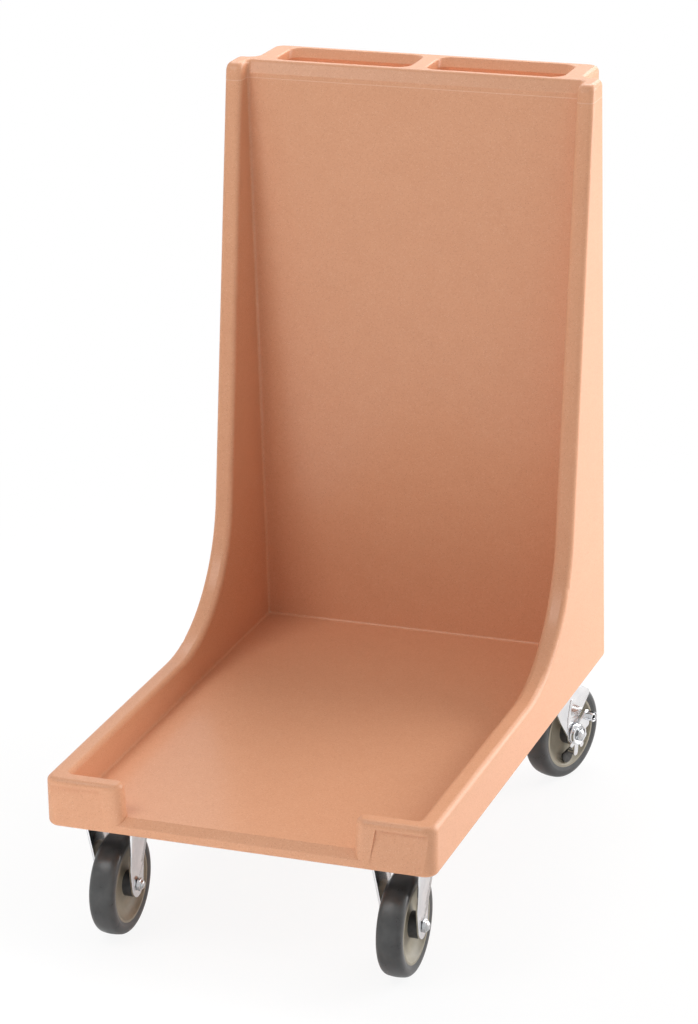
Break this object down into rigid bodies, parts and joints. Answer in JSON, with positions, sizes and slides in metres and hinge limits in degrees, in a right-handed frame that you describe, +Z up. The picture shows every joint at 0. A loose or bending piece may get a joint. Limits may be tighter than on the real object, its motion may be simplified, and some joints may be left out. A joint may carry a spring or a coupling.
{
  "type": "tray dolly",
  "caption": "Moulded tray dolly: low railed platform with front lips, tall winged back with hand pockets, fixed front casters and braked swivel rear casters.",
  "frame": {"origin": "on the floor, under the middle of the dolly's footprint", "axes": "+Z up, +X to the dolly's right as seen from the front, the open front faces -Y"},
  "size_m": [0.483, 0.753, 0.937],
  "materials": {
    "body_plastic": "peach-beige moulded plastic with fine speckles and a satin skin",
    "fork_plate": "bright zinc-plated pressed steel",
    "fastener_steel": "plated steel",
    "insert_brass": "machined",
    "tyre_rubber": "smooth dark grey non-marking tread with a soft sheen",
    "core_plastic": "tan-olive moulded wheel core",
    "hub_plastic": "dark grey moulded bush",
    "pad_rubber": "matt rubber"
  },
  "bodies": {
    "dolly": {"dolly_body": "body_plastic", "vent_plug": "body_plastic", "caster_inserts": "insert_brass", "caster_bolts": "fastener_steel", "caster_washers": "fastener_steel", "front_left_fork": "fork_plate", "front_left_axle_bolt": "fastener_steel", "front_left_axle_nut": "fastener_steel", "front_left_axle_sleeve": "fastener_steel", "front_right_fork": "fork_plate", "front_right_axle_bolt": "fastener_steel", "front_right_axle_nut": "fastener_steel", "front_right_axle_sleeve": "fastener_steel", "rear_left_top_plate": "fork_plate", "rear_left_kingpin": "fastener_steel", "rear_left_lower_race": "fork_plate", "rear_right_top_plate": "fork_plate", "rear_right_kingpin": "fastener_steel", "rear_right_lower_race": "fork_plate"},
    "rear_left_swivel": {"rear_left_fork": "fork_plate", "rear_left_upper_balls": "fastener_steel", "rear_left_lower_balls": "fastener_steel", "rear_left_axle_bolt": "fastener_steel", "rear_left_axle_nut": "fastener_steel", "rear_left_axle_sleeve": "fastener_steel", "rear_left_brake_washer": "fastener_steel"},
    "rear_left_brake": {"rear_left_brake_lever": "fork_plate", "rear_left_brake_pad": "pad_rubber"},
    "rear_right_swivel": {"rear_right_fork": "fork_plate", "rear_right_upper_balls": "fastener_steel", "rear_right_lower_balls": "fastener_steel", "rear_right_axle_bolt": "fastener_steel", "rear_right_axle_nut": "fastener_steel", "rear_right_axle_sleeve": "fastener_steel", "rear_right_brake_washer": "fastener_steel"},
    "rear_right_brake": {"rear_right_brake_lever": "fork_plate", "rear_right_brake_pad": "pad_rubber"},
    "front_left_wheel": {"front_left_tyre": "tyre_rubber", "front_left_wheel_core": "core_plastic", "front_left_hub_bushes": "hub_plastic"},
    "front_right_wheel": {"front_right_tyre": "tyre_rubber", "front_right_wheel_core": "core_plastic", "front_right_hub_bushes": "hub_plastic"},
    "rear_left_wheel": {"rear_left_tyre": "tyre_rubber", "rear_left_wheel_core": "core_plastic", "rear_left_hub_bushes": "hub_plastic"},
    "rear_right_wheel": {"rear_right_tyre": "tyre_rubber", "rear_right_wheel_core": "core_plastic", "rear_right_hub_bushes": "hub_plastic"}
  },
  "joints": [
    {"name": "front_left_roll", "type": "hinge", "parent": "dolly", "child": "front_left_wheel", "pos_m": [-0.18, -0.3045, 0.0635], "axis": [1, 0, 0], "continuous": true},
    {"name": "front_right_roll", "type": "hinge", "parent": "dolly", "child": "front_right_wheel", "pos_m": [0.18, -0.3045, 0.0635], "axis": [1, 0, 0], "continuous": true},
    {"name": "rear_left_turn", "type": "hinge", "parent": "dolly", "child": "rear_left_swivel", "pos_m": [-0.18, 0.2605, 0.15], "axis": [0, 0, 1], "continuous": true},
    {"name": "rear_left_roll", "type": "hinge", "parent": "rear_left_swivel", "child": "rear_left_wheel", "pos_m": [-0.167, 0.29621, 0.0635], "axis": [0.9397, -0.342, 0], "continuous": true},
    {"name": "rear_left_brake_press", "type": "hinge", "parent": "rear_left_swivel", "child": "rear_left_brake", "pos_m": [-0.167, 0.29621, 0.0635], "axis": [-0.9397, 0.342, 0], "range_deg": [0, 35]},
    {"name": "rear_right_turn", "type": "hinge", "parent": "dolly", "child": "rear_right_swivel", "pos_m": [0.18, 0.2605, 0.15], "axis": [0, 0, 1], "continuous": true},
    {"name": "rear_right_roll", "type": "hinge", "parent": "rear_right_swivel", "child": "rear_right_wheel", "pos_m": [0.193, 0.29621, 0.0635], "axis": [0.9397, -0.342, 0], "continuous": true},
    {"name": "rear_right_brake_press", "type": "hinge", "parent": "rear_right_swivel", "child": "rear_right_brake", "pos_m": [0.193, 0.29621, 0.0635], "axis": [-0.9397, 0.342, 0], "range_deg": [0, 35]}
  ]
}
